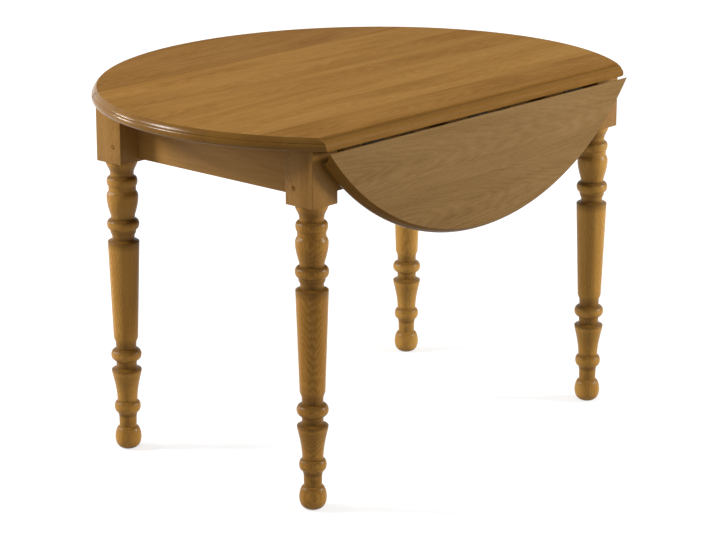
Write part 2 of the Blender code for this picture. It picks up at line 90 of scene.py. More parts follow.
TABLE_Y = (top_low.y + top_high.y) / 2
TOP_Z = top_high.z
UNDERSIDE = top_low.z
TOP_THICKNESS = TOP_Z - UNDERSIDE
TOP_LENGTH = top_high.x - top_low.x
TOP_WIDTH = 2 * (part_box("leaf_rear")[1].y - TABLE_Y)
HINGE_Y = hinge_places["rear_leaf"].y - TABLE_Y
HINGE_Z = hinge_places["rear_leaf"].z
AXIS_DROP = UNDERSIDE - HINGE_Z
OVOLO_RADIUS = top_high.y - TABLE_Y - HINGE_Y
LEG_X = (block_low.x + block_high.x) / 2
LEG_Y = (block_low.y + block_high.y) / 2 - TABLE_Y
LEG_SQUARE = block_high.x - block_low.x
FRAME_TOP = block_high.z
print(f"top {TOP_LENGTH:.3f} x {TOP_WIDTH:.3f} m, {TOP_THICKNESS * MM:.0f} mm thick")
print(f"hinge lines {HINGE_Y:.3f} m from the middle")
print(f"legs {2 * LEG_X:.3f} x {2 * LEG_Y:.3f} m apart")

# %% [markdown]
# ## Camera
# The photograph looks down at the table from its front left corner with a long lens. The place,
# heading, tilt and focal length were worked out from the legs, the rim and the hinge line. A
# tilted camera without shift fits them best.

# %% Camera
IMAGE_WIDTH = 716
SENSOR_WIDTH = 36
FOCAL_PIXELS = 2654
CAMERA_BACK = Vector((-3.989, -3.563, 1.882))
CAMERA_HEADING = math.radians(48.10)
CAMERA_TILT = math.radians(16.11)

camera_data = bpy.data.cameras.new("camera")
camera_data.sensor_width = SENSOR_WIDTH
camera_data.lens = FOCAL_PIXELS / IMAGE_WIDTH * SENSOR_WIDTH
camera = bpy.data.objects.new("camera", camera_data)
bpy.context.scene.collection.objects.link(camera)
bpy.context.scene.camera = camera
looking = Vector(
    (
        math.sin(CAMERA_HEADING) * math.cos(CAMERA_TILT),
        math.cos(CAMERA_HEADING) * math.cos(CAMERA_TILT),
        -math.sin(CAMERA_TILT),
    )
)
camera.location = CAMERA_BACK + Vector((0, TABLE_Y, 0))
camera.rotation_euler = looking.to_track_quat("-Z", "Y").to_euler()
print(f"lens {camera_data.lens:.1f} mm")

# %% [markdown]
# ## Shader helpers
# Every finish below is a small network of nodes. The first helper adds one node, sets its
# options, and links or fills its inputs. The others are steps that the networks repeat, so each
# network reads from top to bottom.

# %% Shader helpers
COLOUR_A, COLOUR_B, COLOUR_RESULT = 6, 7, 2


def node(tree, kind, inputs=None, **options):
    """A new node with its options set and its inputs linked or filled."""
    made = tree.nodes.new(kind)
    for name, value in options.items():
        setattr(made, name, value)
    for name, value in (inputs or {}).items():
        if isinstance(value, bpy.types.NodeSocket):
            tree.links.new(value, made.inputs[name])
        else:
            made.inputs[name].default_value = value
    return made


def output(tree, kind, inputs=None, **options):
    """The first output of a new node."""
    return node(tree, kind, inputs, **options).outputs[0]


def calculate(tree, operation, first, second=0.0):
    """One step of arithmetic between two values or sockets."""
    return output(tree, "ShaderNodeMath", {0: first, 1: second}, operation=operation)


def length_of(tree, vector):
    """The length of a vector."""
    return node(tree, "ShaderNodeVectorMath", {0: vector}, operation="LENGTH").outputs["Value"]


def rescaled(tree, value, source, target):
    """A value carried from its source range to a target range, and held inside it."""
    ranges = dict(zip(("From Min", "From Max", "To Min", "To Max"), (*source, *target)))
    return output(tree, "ShaderNodeMapRange", {"Value": value, **ranges})


def blended(tree, factor, first, second):
    """Two colours mixed by a factor."""
    sockets = {"Factor": factor, COLOUR_A: first, COLOUR_B: second}
    return node(tree, "ShaderNodeMix", sockets, data_type="RGBA").outputs[COLOUR_RESULT]


def new_finish(name):
    """A new material, with its tree, its shader and the place of a point on its piece."""
    material = bpy.data.materials.new(name)
    material.use_nodes = True
    tree = material.node_tree
    place = node(tree, "ShaderNodeTexCoord").outputs["Object"]
    return material, tree, tree.nodes["Principled BSDF"], place


print("shader helpers ready")

# %% [markdown]
# ## Floor and background
# The photograph is cut out on white. A pale floor that keeps a soft shadow and a white world give
# the same look without pouring extra light on the wood: the world is only white to the camera and
# in reflections.

# %% Floor and background
FLOOR_SIZE = 60.0
FLOOR_GREY = 0.45
FLOOR_ROUGHNESS = 0.9
NEAR_GLOW, FAR_GLOW = 0.64, 0.86
GLOW_START, GLOW_END = 0.8, 3.0
SKY_LEVEL = 0.40
WHITE = (1, 1, 1, 1)


def seen_rays(tree):
    """1 for rays that the camera sees, straight, in gloss or through glass, and 0 for others."""
    rays = node(tree, "ShaderNodeLightPath").outputs
    seen = calculate(tree, "MAXIMUM", rays["Is Camera Ray"], rays["Is Glossy Ray"])
    return calculate(tree, "MAXIMUM", seen, rays["Is Transmission Ray"])


floor_mesh = bpy.data.meshes.new("floor")
bm = bmesh.new()
bmesh.ops.create_grid(bm, x_segments=1, y_segments=1, size=FLOOR_SIZE / 2)
bm.to_mesh(floor_mesh)
bm.free()
floor = bpy.data.objects.new("floor", floor_mesh)
bpy.context.scene.collection.objects.link(floor)

floor_paint, tree, paint, spot = new_finish("floor_paint")
paint.inputs["Base Color"].default_value = (FLOOR_GREY, FLOOR_GREY, FLOOR_GREY, 1)
paint.inputs["Roughness"].default_value = FLOOR_ROUGHNESS
paint.inputs["Specular IOR Level"].default_value = 0.0
paint.inputs["Emission Color"].default_value = WHITE
glow = rescaled(tree, length_of(tree, spot), (GLOW_START, GLOW_END), (NEAR_GLOW, FAR_GLOW))
glow = calculate(tree, "MULTIPLY", seen_rays(tree), glow)
tree.links.new(glow, paint.inputs["Emission Strength"])
floor_mesh.materials.append(floor_paint)

world = bpy.data.worlds.new("studio")
bpy.context.scene.world = world
world.use_nodes = True
sky = world.node_tree
background = sky.nodes["Background"]
background.inputs["Color"].default_value = WHITE
level = rescaled(sky, seen_rays(sky), (0, 1), (SKY_LEVEL, 1))
sky.links.new(level, background.inputs["Strength"])
bpy.context.scene.view_settings.view_transform = "Standard"
print("floor and white background ready")

# %% [markdown]
# ## Studio light
# The photograph is lit from both sides: the legs are dark in the middle and light at their edges,
# and the top throws a slanting shadow on the end apron. Two soft lamps stand square to the line
# of sight, so that the side towards the camera stays the darkest. The left one is high. The right
# one is lower and farther off, and throws the hanging leaf's shadow on the near leg. A small low
# lamp behind puts the bright line on the rim.

# %% Studio light
AIM_HEIGHT = 0.6
LAMPS = {
    "left_lamp": {"offset": (-2.50, 2.60, 1.90), "size": 0.9, "power": 148},
    "right_lamp": {"offset": (2.98, -3.24, 1.43), "size": 1.2, "power": 200},
    "back_lamp": {"offset": (-1.5, 3.7, 0.7), "size": 0.8, "power": 45},
}


def lamp(name, place, target, size, power):
    """A round soft lamp that shines on a target."""
    data = bpy.data.lights.new(name, "AREA")
    data.shape = "DISK"
    data.size = size
    data.energy = power
    lamp_object = bpy.data.objects.new(name, data)
    bpy.context.scene.collection.objects.link(lamp_object)
    lamp_object.location = place
    lamp_object.rotation_euler = (target - place).to_track_quat("-Z", "Y").to_euler()


aim = Vector((0, TABLE_Y, AIM_HEIGHT))
for name, setting in LAMPS.items():
    lamp(name, aim + Vector(setting["offset"]), aim, setting["size"], setting["power"])
print("lamps:", ", ".join(LAMPS))

# %% [markdown]
# ## Oak
# Oak shows long streaks, finer lines and short open pores, all drawn out along the grain, and
# pointed arches where growth rings run out of a sawn face. Noise on stretched Object coordinates
# gives the first three. The arches are the rings themselves: circles about the pith, the heart of
# the tree, which leans through the wood below the face.

# %% Growth rings
RING_WIDTH = 0.0015
RING_WANDER = 10.0


def ring_count(tree, across, depth, noise):
    """How many rings a point lies from a pith so far across and so deep.

    The noise adds the wander that real rings have.
    """
    from_pith = output(tree, "ShaderNodeCombineXYZ", {"X": across, "Y": depth})
    rings = calculate(tree, "DIVIDE", length_of(tree, from_pith), RING_WIDTH)
    return calculate(tree, "ADD", rings, calculate(tree, "MULTIPLY", noise, RING_WANDER))


print(f"growth rings {2 * RING_WIDTH * MM:.1f} mm apart")

# %% [markdown]
# Each board of a glued panel has its own tone and its own pith. The coordinates are first turned
# so that x runs along the grain, then the boards are counted across it, and a chance value moves
# each to its own place in the noise.

# %% Boards and grain
BOARD_PITH = 0.05
PITH_SPREAD = 0.05
BOARD_LEAN = 0.05
BOARD_SHIFT = (3, 3, 3)
GRAIN_ROUGHNESS = 0.55


def drawn_out(tree, place, along, sideways, detail, bend=0.0):
    """Noise with so many waves in a metre along the grain and sideways."""
    stretch = {"Vector": place, "Scale": (along, sideways, sideways)}
    stretched = output(tree, "ShaderNodeMapping", stretch)
    waves = {"Scale": 1.0, "Detail": detail, "Roughness": GRAIN_ROUGHNESS, "Distortion": bend}
    return output(tree, "ShaderNodeTexNoise", {"Vector": stretched, **waves})


def board_rings(tree, boards, width, along, chance, noise):
    """How many rings a point lies from the pith of its own board."""
    across = calculate(tree, "SUBTRACT", calculate(tree, "FRACT", boards), 0.5)
    across = calculate(tree, "MULTIPLY", across, width)
    depth = calculate(tree, "ADD", calculate(tree, "MULTIPLY", chance, PITH_SPREAD), BOARD_PITH)
    depth = calculate(tree, "ADD", calculate(tree, "MULTIPLY", along, BOARD_LEAN), depth)
    return ring_count(tree, across, depth, noise)


print(f"a board's pith lies {BOARD_PITH * MM:.0f} mm or more below its middle")

# %% [markdown]
# The finish mixes streaks, lines, rings and the board's own tone, and spreads the mix over a ramp
# of three tones. Then it darkens the pores, darkens the hollows of turned pieces with staining and
# painted shade, and lets the fine lines change the lacquer's shine and relief a little.

# %% Oak
RAMP_MIDDLE, RAMP_HALF = 0.5, 0.22
STREAK_SHARE, LINE_SHARE, TONE_SHARE = 0.60, 0.20, 0.20
PORE_RANGE, PORE_STRENGTH = (0.56, 0.70), 0.3
PORE_SHADE, STAIN_AND_SHADE_TONE = 0.35, 0.3
LINE_RANGE = (0.3, 0.7)
LINE_DULLER, LINE_SHINIER = 0.06, 0.04
GRAIN_RELIEF = {"Strength": 0.12, "Distance": 0.0006}


def shaded(tone, share):
    """A share of a tone, as an opaque colour."""
    return (*[share * c for c in tone], 1)


def oak(
    name, tones, turn=(0, 0, 0), board=2.0, first=0, start=0.0, gloss=0.5, roughness=0.4,
    arches=0.1, contrast=1.0, streak=1.2, pith=None, stain_and_shade=0.0
):
    """An oak finish. tones holds a dark, a middle and a light colour.

    Boards are counted up from start, streak is the number of streaks in a metre along the grain,
    and arches is the share of the rings in the mix. pith, if given, counts the rings of a piece
    that isn't a board. The last argument says how far the hollows of a turned piece are darkened,
    by its attribute "hollow": partly staining, partly painted shade.
    """
    material, tree, shader, place = new_finish(name)
    turned_place = output(tree, "ShaderNodeMapping", {"Vector": place, "Rotation": turn})
    grain = node(tree, "ShaderNodeSeparateXYZ", {0: turned_place}).outputs
    boards = calculate(tree, "DIVIDE", calculate(tree, "SUBTRACT", grain["Y"], start), board)
    number = calculate(tree, "ADD", calculate(tree, "FLOOR", boards), first)
    chance = node(tree, "ShaderNodeTexWhiteNoise", {"W": number}, noise_dimensions="1D").outputs
    shift = {0: chance["Color"], 1: BOARD_SHIFT, 2: turned_place}
    own_place = output(tree, "ShaderNodeVectorMath", shift, operation="MULTIPLY_ADD")

    streaks = drawn_out(tree, own_place, along=streak, sideways=15, detail=4, bend=0.8)
    lines = drawn_out(tree, own_place, along=5, sideways=130, detail=3)
    pores = drawn_out(tree, own_place, along=75, sideways=1500, detail=1)
    if pith:
        wander = drawn_out(tree, own_place, along=9, sideways=45, detail=3)
        rings = pith(tree, place, wander)
    else:
        wander = drawn_out(tree, own_place, along=4, sideways=30, detail=2)
        rings = board_rings(tree, boards, board, grain["X"], chance["Value"], wander)
    rings = calculate(tree, "PINGPONG", rings, 1.0)

    mixed = calculate(tree, "MULTIPLY", streaks, STREAK_SHARE - arches)
    for pattern, share in ((lines, LINE_SHARE), (rings, arches), (chance["Value"], TONE_SHARE)):
        mixed = calculate(tree, "ADD", mixed, calculate(tree, "MULTIPLY", pattern, share))
    reach = RAMP_HALF / contrast
    spread = rescaled(tree, mixed, (RAMP_MIDDLE - reach, RAMP_MIDDLE + reach), (0, 1))
    dark, medium, light = tones
    ramp = node(tree, "ShaderNodeValToRGB", {"Fac": spread})
    stops = ramp.color_ramp.elements
    stops[0].color = (*dark, 1)
    stops[1].color = (*light, 1)
    stops.new(0.5).color = (*medium, 1)
    open_pores = rescaled(tree, pores, PORE_RANGE, (0, PORE_STRENGTH))
    colour = blended(tree, open_pores, ramp.outputs["Color"], shaded(dark, PORE_SHADE))
    # the hollows are painted darker: partly staining, partly painted shade
    if stain_and_shade:
        hollow = node(tree, "ShaderNodeAttribute", attribute_name="hollow").outputs["Fac"]
        stain_and_shade_share = calculate(tree, "MULTIPLY", hollow, stain_and_shade)
        colour = blended(tree, stain_and_shade_share, colour, shaded(dark, STAIN_AND_SHADE_TONE))
    tree.links.new(colour, shader.inputs["Base Color"])

    dull, shiny = roughness + LINE_DULLER, roughness - LINE_SHINIER
    tree.links.new(rescaled(tree, lines, LINE_RANGE, (dull, shiny)), shader.inputs["Roughness"])
    relief = calculate(tree, "SUBTRACT", lines, open_pores)
    bump = output(tree, "ShaderNodeBump", {"Height": relief, **GRAIN_RELIEF})
    tree.links.new(bump, shader.inputs["Normal"])
    shader.inputs["Specular IOR Level"].default_value = gloss
    return material


print("oak ready")

# %% [markdown]
# A leg is turned from one stick, and its pith leans through the wood behind it, so the arches
# show on its outer side and straight grain on its flanks. Folding the four legs onto one by
# symmetry lets one set of rings serve them all.

# %% Rings of a leg
LEG_PITH = 0.035
LEG_LEAN = 0.10


def leg_rings(tree, place, noise):
    """How many rings a point lies from the pith of its own leg."""
    from_middle = {0: place, 1: (0, TABLE_Y, 0)}
    offset = output(tree, "ShaderNodeVectorMath", from_middle, operation="SUBTRACT")
    folded = output(tree, "ShaderNodeVectorMath", {0: offset}, operation="ABSOLUTE")
    outward = node(tree, "ShaderNodeSeparateXYZ", {0: folded}).outputs
    lean = calculate(tree, "MULTIPLY", outward["Z"], LEG_LEAN)
    x = calculate(tree, "ADD", calculate(tree, "SUBTRACT", outward["X"], LEG_X - LEG_PITH), lean)
    y = calculate(tree, "ADD", calculate(tree, "SUBTRACT", outward["Y"], LEG_Y - LEG_PITH), lean)
    return ring_count(tree, x, y, noise)


print(f"pith {LEG_PITH * MM:.0f} mm inside the legs' middles at the floor")

# %% [markdown]
# The pieces were sawn from different trees, so each has its own tones, and some tones also hold
# painted light and shade. The right pair of legs is painted lighter than the left pair, for the
# stronger light on that side. The leg blocks, the rear leaf and the rule joint are painted darker,
# for the shade that falls on them, and the rim is darker partly from staining and partly from
# painted shade. The hanging front leaf's tones hold a painted sheen and the cooler light on it.
# Every finish also says which way the grain of its pieces runs.

# %% Oak finishes
TOP_HONEY = ((0.218, 0.097, 0.018), (0.299, 0.145, 0.032), (0.359, 0.188, 0.047))
# rear leaf: darker than the centre top, painted shade towards the back
REAR_HONEY_WITH_PAINTED_SHADE = ((0.182, 0.077, 0.015), (0.249, 0.118, 0.027), (0.300, 0.152, 0.039))
# rim: darker partly from staining, partly painted shade on the moulding
RIM_HONEY_WITH_STAINING_AND_SHADE = ((0.150, 0.066, 0.009), (0.200, 0.092, 0.013), (0.240, 0.116, 0.018))
# hanging front leaf: its tones hold a painted sheen and the cooler light on it
LEAF_HONEY_WITH_PAINTED_SHEEN = ((0.168, 0.095, 0.034), (0.235, 0.136, 0.052), (0.287, 0.174, 0.074))
LEG_HONEY = ((0.284, 0.127, 0.020), (0.397, 0.193, 0.036), (0.483, 0.252, 0.056))
# right legs: lighter than the left, painted light for that side
RIGHT_LEG_HONEY_WITH_PAINTED_LIGHT = ((0.345, 0.165, 0.030), (0.482, 0.252, 0.054), (0.585, 0.329, 0.083))
# leg blocks: darker than their turnings, painted shade under the top
BLOCK_HONEY_WITH_PAINTED_SHADE = ((0.204, 0.094, 0.018), (0.286, 0.142, 0.033), (0.350, 0.187, 0.051))
APRON_HONEY = ((0.235, 0.112, 0.026), (0.325, 0.165, 0.042), (0.395, 0.212, 0.060))
PEG_BROWN = ((0.133, 0.057, 0.008), (0.209, 0.093, 0.013), (0.304, 0.143, 0.022))
# rule joint: darker than the top it is cut in, painted shade
JOINT_HONEY_WITH_PAINTED_SHADE = ((0.174, 0.079, 0.016), (0.237, 0.115, 0.026), (0.288, 0.147, 0.037))
BOARD_WIDTH = 0.1007
FIRST_BOARD = 702
LEAF_BOARD_WIDTH = 0.12
FIRST_LEAF_BOARD = 81
QUARTER = math.radians(90)
UPRIGHT = (0, QUARTER, 0)
HANGING = (QUARTER, 0, 0)
CROSSWISE = (0, 0, -QUARTER)

glued = {"board": BOARD_WIDTH, "first": FIRST_BOARD, "start": TABLE_Y - HINGE_Y}
matt = {"gloss": 0.005, "roughness": 0.5}
flat = {**matt, "contrast": 1.25, "streak": 2.4}
centre_oak = oak("oak_centre_top", TOP_HONEY, **glued, **flat)
rear_oak = oak("oak_leaf_rear", REAR_HONEY_WITH_PAINTED_SHADE, **glued, **flat)
hung = {"turn": HANGING, "board": LEAF_BOARD_WIDTH, "first": FIRST_LEAF_BOARD, "start": -HINGE_Z}
front_oak = oak("oak_leaf_front", LEAF_HONEY_WITH_PAINTED_SHEEN, **hung, **matt, contrast=1.15)
rim_oak = oak("oak_rim", RIM_HONEY_WITH_STAINING_AND_SHADE, gloss=0.10, roughness=0.18)
front_rim_oak = oak("oak_rim_front", RIM_HONEY_WITH_STAINING_AND_SHADE, turn=HANGING, gloss=0.02, roughness=0.2)
joint_oak = oak("oak_rule_joint", JOINT_HONEY_WITH_PAINTED_SHADE, gloss=0.01, roughness=0.4)
sawn = {"turn": UPRIGHT, "arches": 0.16, "pith": leg_rings, "gloss": 0.10}
# the right legs' tones hold painted light; all legs' hollows get staining and painted shade
leg_oak = {
    across: oak(f"oak_legs_{across}", tones, **sawn, roughness=0.32, contrast=1.3, stain_and_shade=0.75)
    for across, tones in (("left", LEG_HONEY), ("right", RIGHT_LEG_HONEY_WITH_PAINTED_LIGHT))
}
block_oak = oak("oak_leg_blocks", BLOCK_HONEY_WITH_PAINTED_SHADE, **sawn, roughness=0.36)
waxed = {"gloss": 0.1, "roughness": 0.4}
long_apron_oak = oak("oak_long_aprons", APRON_HONEY, turn=HANGING, **waxed)
short_apron_oak = oak("oak_short_aprons", APRON_HONEY, turn=CROSSWISE, **waxed)
peg_oak = oak("oak_pegs", PEG_BROWN, gloss=0.08, roughness=0.5)
print("oak finishes ready")

# %% [markdown]
# ## Bronzed steel
# Hinges and stays are plain steel with a bronzed coat that is cloudy and a little worn. Two
# noises, one for the clouds and one for fine scratches, change its colour and roughness.

# %% Bronzed steel
HINGE_BROWN = ((0.028, 0.018, 0.009), (0.060, 0.040, 0.021))
SCREW_BRONZE = ((0.30, 0.22, 0.12), (0.48, 0.37, 0.22))
CLOUDS = {"Scale": 60.0, "Detail": 4.0}
CLOUD_EDGES = (0.3, 0.7)
SCRATCH_STRETCH = (60, 900, 900)
SCRATCHES = {"Scale": 1.0, "Detail": 2.0}
SCRATCH_SMOOTHER, SCRATCH_ROUGHER = 0.1, 0.12
SCRATCH_RELIEF = {"Strength": 0.08, "Distance": 0.0003}
STEEL_GLOSS = 0.05


def bronzed_steel(name, tones, roughness, metallic):
    """A bronzed finish that clouds between a dark and a light tone."""
    material, tree, shader, place = new_finish(name)
    clouds = output(tree, "ShaderNodeTexNoise", {"Vector": place, **CLOUDS})
    stretched = output(tree, "ShaderNodeMapping", {"Vector": place, "Scale": SCRATCH_STRETCH})
    scratches = output(tree, "ShaderNodeTexNoise", {"Vector": stretched, **SCRATCHES})
    ramp = node(tree, "ShaderNodeValToRGB", {"Fac": clouds})
    for stop, edge, tone in zip(ramp.color_ramp.elements, CLOUD_EDGES, tones):
        stop.position = edge
        stop.color = (*tone, 1)
    tree.links.new(ramp.outputs["Color"], shader.inputs["Base Color"])
    smooth, rough = roughness - SCRATCH_SMOOTHER, roughness + SCRATCH_ROUGHER
    shine = rescaled(tree, scratches, (0, 1), (smooth, rough))
    tree.links.new(shine, shader.inputs["Roughness"])
    bump = output(tree, "ShaderNodeBump", {"Height": scratches, **SCRATCH_RELIEF})
    tree.links.new(bump, shader.inputs["Normal"])
    shader.inputs["Metallic"].default_value = metallic
    shader.inputs["Specular IOR Level"].default_value = STEEL_GLOSS
    return material


hinge_steel = bronzed_steel("bronzed_hinges", HINGE_BROWN, roughness=0.6, metallic=0.05)
screw_steel = bronzed_steel("bronzed_screws", SCREW_BRONZE, roughness=0.3, metallic=0.6)
print("metal finishes ready")

# %% [markdown]
# ## Mesh helpers
# Wood is worked by turning, moulding and cutting. A profile with a Screw modifier is turning, an
# outline pushed along x is a moulding plane, and a Boolean is a saw or a chisel. The results
# become plain meshes at once, so the pieces carry no live modifiers. A Boolean may list its new
# faces in another order next time, so they are sorted.

# %% Mesh helpers
MERGE_DISTANCE = 1e-5
ROD_SIDES = 32
ARRIS_STEPS = 3


def linked(mesh, name="guide"):
    """A new object in the scene with this mesh."""
    made = bpy.data.objects.new(name, mesh)
    bpy.context.scene.collection.objects.link(made)
    return made


def plain_mesh(guide):
    """The evaluated shape of an object as a mesh. The object is removed."""
    graph = bpy.context.evaluated_depsgraph_get()
    mesh = bpy.data.meshes.new_from_object(guide.evaluated_get(graph))
    bpy.data.objects.remove(guide)
    return mesh


def mesh_from(bm):
    """A plain mesh from a bmesh, with its faces pointing outwards."""
    mesh = bpy.data.meshes.new("shape")
    bmesh.ops.recalc_face_normals(bm, faces=bm.faces)
    bm.to_mesh(mesh)
    bm.free()
    return mesh


def turned(profile, steps):
    """A profile of (radius, z) points from the top down, turned about z."""
    mesh = bpy.data.meshes.new("profile")
    edges = [(i, i + 1) for i in range(len(profile) - 1)]
    mesh.from_pydata([(r, 0, z) for r, z in profile], edges, [])
    guide = linked(mesh)
    screw = guide.modifiers.new("turn", "SCREW")
    screw.steps = steps
    screw.render_steps = steps
    screw.use_merge_vertices = True
    screw.merge_threshold = MERGE_DISTANCE
    return plain_mesh(guide)


def moulding(outline, length):
    """A YZ outline pushed along x, with its middle at x = 0."""
    bm = bmesh.new()
    face = bm.faces.new([bm.verts.new((-length / 2, y, z)) for y, z in outline])
    pushed = bmesh.ops.extrude_face_region(bm, geom=[face])["geom"]
    corners = [v for v in pushed if isinstance(v, bmesh.types.BMVert)]
    bmesh.ops.translate(bm, verts=corners, vec=(length, 0, 0))
    return mesh_from(bm)


def block(low, high, arris=0.0):
    """A box between two corners, with its edges rounded by arris."""
    size = Vector(high) - Vector(low)
    place = Matrix.Translation((Vector(low) + Vector(high)) / 2) @ Matrix.Diagonal((*size, 1))
    bm = bmesh.new()
    bmesh.ops.create_cube(bm, matrix=place)
    if arris:
        bmesh.ops.bevel(
            bm, geom=bm.edges[:], offset=arris, segments=ARRIS_STEPS, profile=0.5, affect="EDGES"
        )
    return mesh_from(bm)


def rod(radius, start, end):
    """A round rod between two points."""
    start, end = Vector(start), Vector(end)
    turn = (end - start).to_track_quat("Z", "Y").to_matrix().to_4x4()
    place = Matrix.Translation((start + end) / 2) @ turn
    bm = bmesh.new()
    bmesh.ops.create_cone(
        bm, cap_ends=True, segments=ROD_SIDES, radius1=radius, radius2=radius,
        depth=(end - start).length, matrix=place
    )
    return mesh_from(bm)


def in_order(mesh):
    """The same mesh with its faces sorted by their first two corners."""
    bm = bmesh.new()
    bm.from_mesh(mesh)
    count = len(bm.verts)
    bm.faces.sort(key=lambda face: face.verts[0].index * count + face.verts[1].index)
    bm.to_mesh(mesh)
    bm.free()
    return mesh


def worked(mesh, operation, *tools):
    """A mesh after joining (UNION), cutting (DIFFERENCE) or keeping what is inside (INTERSECT)."""
    guide = linked(mesh)
    helpers = [linked(tool, "tool") for tool in tools]
    for helper in helpers:
        boolean = guide.modifiers.new("work", "BOOLEAN")
        boolean.operation = operation
        boolean.solver = "EXACT"
        boolean.object = helper
    result = plain_mesh(guide)
    for helper in helpers:
        bpy.data.objects.remove(helper)
    return in_order(result)


def moved(mesh, matrix):
    """The same mesh after a move."""
    mesh.transform(matrix)
    return mesh


def arc(centre, radius, start, end, steps):
    """Points of an arc, with its angles in degrees."""
    angles = [math.radians(start + (end - start) * i / steps) for i in range(steps + 1)]
    return [(centre[0] + radius * math.cos(a), centre[1] + radius * math.sin(a)) for a in angles]


print("mesh helpers ready")

# %% [markdown]
# A finished mesh gets its finishes in their slots, smooth shading up to an angle that keeps its
# edges crisp, and its place in the frame: it rides on its body, and the plain pieces that it
# stands in for are hidden.

# %% Finished pieces
EDGE_ANGLE = 35


def show(name, mesh, materials, body, replaced, smooth=EDGE_ANGLE):
    """Puts a finished mesh in the scene, riding on its body in place of the plain pieces."""
    mesh.name = name
    finishes = [polygon.material_index for polygon in mesh.polygons]
    mesh.materials.clear()
    for material in materials:
        mesh.materials.append(material)
    mesh.polygons.foreach_set("material_index", finishes)
    mesh.shade_smooth()
    mesh.set_sharp_from_angle(angle=math.radians(smooth))
    piece = linked(mesh, name)
    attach(piece, body)
    if replaced:
        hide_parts(*replaced)
    print(f"{name}: {len(mesh.polygons)} faces")
    return piece


print("edges sharper than", EDGE_ANGLE, "degrees stay crisp")

# %% [markdown]
# ## The moulded blank
# All three pieces of the top share one rim: a thumbnail round with a crisp upper edge, a narrow
# quirk and a fuller round that tucks under. Turning that profile and squeezing the disc a little
# across the table gives the blank that the pieces are cut from, as a maker moulds the edge of the
# whole top.

# %% The moulded blank
RIM_INSET = 0.011
THUMBNAIL_INSET = 0.003
THUMBNAIL_HEIGHT = 0.010
THUMBNAIL_FROM, THUMBNAIL_TO = math.radians(55), math.radians(80)
QUIRK_DEPTH = 0.002
BULLNOSE_RISE = 0.009
BULLNOSE_UNDERCUT = 0.004
RIM_STEPS = 8
TOP_STEPS = 288
RIM_FROM = 0.97
UPRIGHT_NORMAL = 0.999


def angles(start, end):
    """Even steps round a part of the rim."""
    return [start + (end - start) * i / RIM_STEPS for i in range(RIM_STEPS + 1)]


def top_blank():
    """The whole moulded top, with its middle over the table's middle."""
    radius = TOP_LENGTH / 2
    quirk = radius - THUMBNAIL_INSET - QUIRK_DEPTH
    waist = -THUMBNAIL_HEIGHT - BULLNOSE_RISE
    profile = [(0, 0)]
    wide = math.sin(THUMBNAIL_TO) - math.sin(THUMBNAIL_FROM)
    tall = math.cos(THUMBNAIL_FROM) - math.cos(THUMBNAIL_TO)
    for a in angles(THUMBNAIL_FROM, THUMBNAIL_TO):
        out = (RIM_INSET - THUMBNAIL_INSET) * (math.sin(a) - math.sin(THUMBNAIL_FROM)) / wide
        down = THUMBNAIL_HEIGHT * (math.cos(THUMBNAIL_FROM) - math.cos(a)) / tall
        profile.append((radius - RIM_INSET + out, -down))
    for a in angles(0, QUARTER):
        out = quirk + (radius - quirk) * math.sin(a)
        profile.append((out, waist + BULLNOSE_RISE * math.cos(a)))
    for a in angles(0, QUARTER)[1:]:
        out = radius - BULLNOSE_UNDERCUT * (1 - math.cos(a))
        profile.append((out, waist - (TOP_THICKNESS + waist) * math.sin(a)))
    profile.append((0, -TOP_THICKNESS))
    squeeze = Matrix.Diagonal((1, TOP_WIDTH / TOP_LENGTH, 1, 1))
    return moved(turned(profile, TOP_STEPS), Matrix.Translation((0, TABLE_Y, TOP_Z)) @ squeeze)


def paint_top_faces(mesh, middle_y):
    """Gives the broad faces the first finish, the rim the second and the rule joint the third.

    A face is broad if its normal is nearly upright, and on the rim if it lies past RIM_FROM of
    the way from the middle to the edge.
    """
    for polygon in mesh.polygons:
        x, y, _ = polygon.center
        outward = math.hypot(2 * x / TOP_LENGTH, 2 * (y - middle_y) / TOP_WIDTH)
        moulded = abs(polygon.normal.z) < UPRIGHT_NORMAL
        polygon.material_index = (1 if outward > RIM_FROM else 2) if moulded else 0


print("blank:", len(top_blank().vertices), "points")

# %% [markdown]
# ## Centre top
# The fixed middle ends in an ovolo along both hinge lines: a short fillet at the top, then a
# quarter round. A moulding with that section keeps what is inside it, and round grooves make room
# for the hinge knuckles.

# %% Centre top
FILLET = 0.004
ARRIS = 0.0005
CUT_MARGIN = 0.010
OVOLO_STEPS = 16
KNUCKLE_GROOVE = 0.0055
GROOVE_HALF = 0.0325
TOP_SMOOTH = 20

half = [
    (HINGE_Y - ARRIS - CUT_MARGIN, TOP_Z + CUT_MARGIN),
    (HINGE_Y, TOP_Z - ARRIS),
    (HINGE_Y, TOP_Z - FILLET),
]
half += arc((HINGE_Y, TOP_Z - FILLET - OVOLO_RADIUS), OVOLO_RADIUS, 90, 0, OVOLO_STEPS)[1:]
half.append((HINGE_Y + OVOLO_RADIUS, UNDERSIDE - CUT_MARGIN))
outline = [(TABLE_Y + y, z) for y, z in half] + [(TABLE_Y - y, z) for y, z in reversed(half)]
centre = worked(top_blank(), "INTERSECT", moulding(outline, TOP_LENGTH + 2 * CUT_MARGIN))

hinge_names = [
    f"{along}_{across}" for along in ("front", "rear") for across in ("left", "middle", "right")
]
grooves = []
for label in hinge_names:
    low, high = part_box(f"hinge_pin_{label}")
    spot = (low + high) / 2
    reach = Vector((GROOVE_HALF, 0, 0))
    grooves.append(rod(KNUCKLE_GROOVE, spot - reach, spot + reach))
centre = worked(centre, "DIFFERENCE", *grooves)
paint_top_faces(centre, TABLE_Y)
centre_finishes = (centre_oak, rim_oak, joint_oak)
show(
    "oak_centre_panel", centre, centre_finishes, "frame", ["centre_top"], TOP_SMOOTH
)

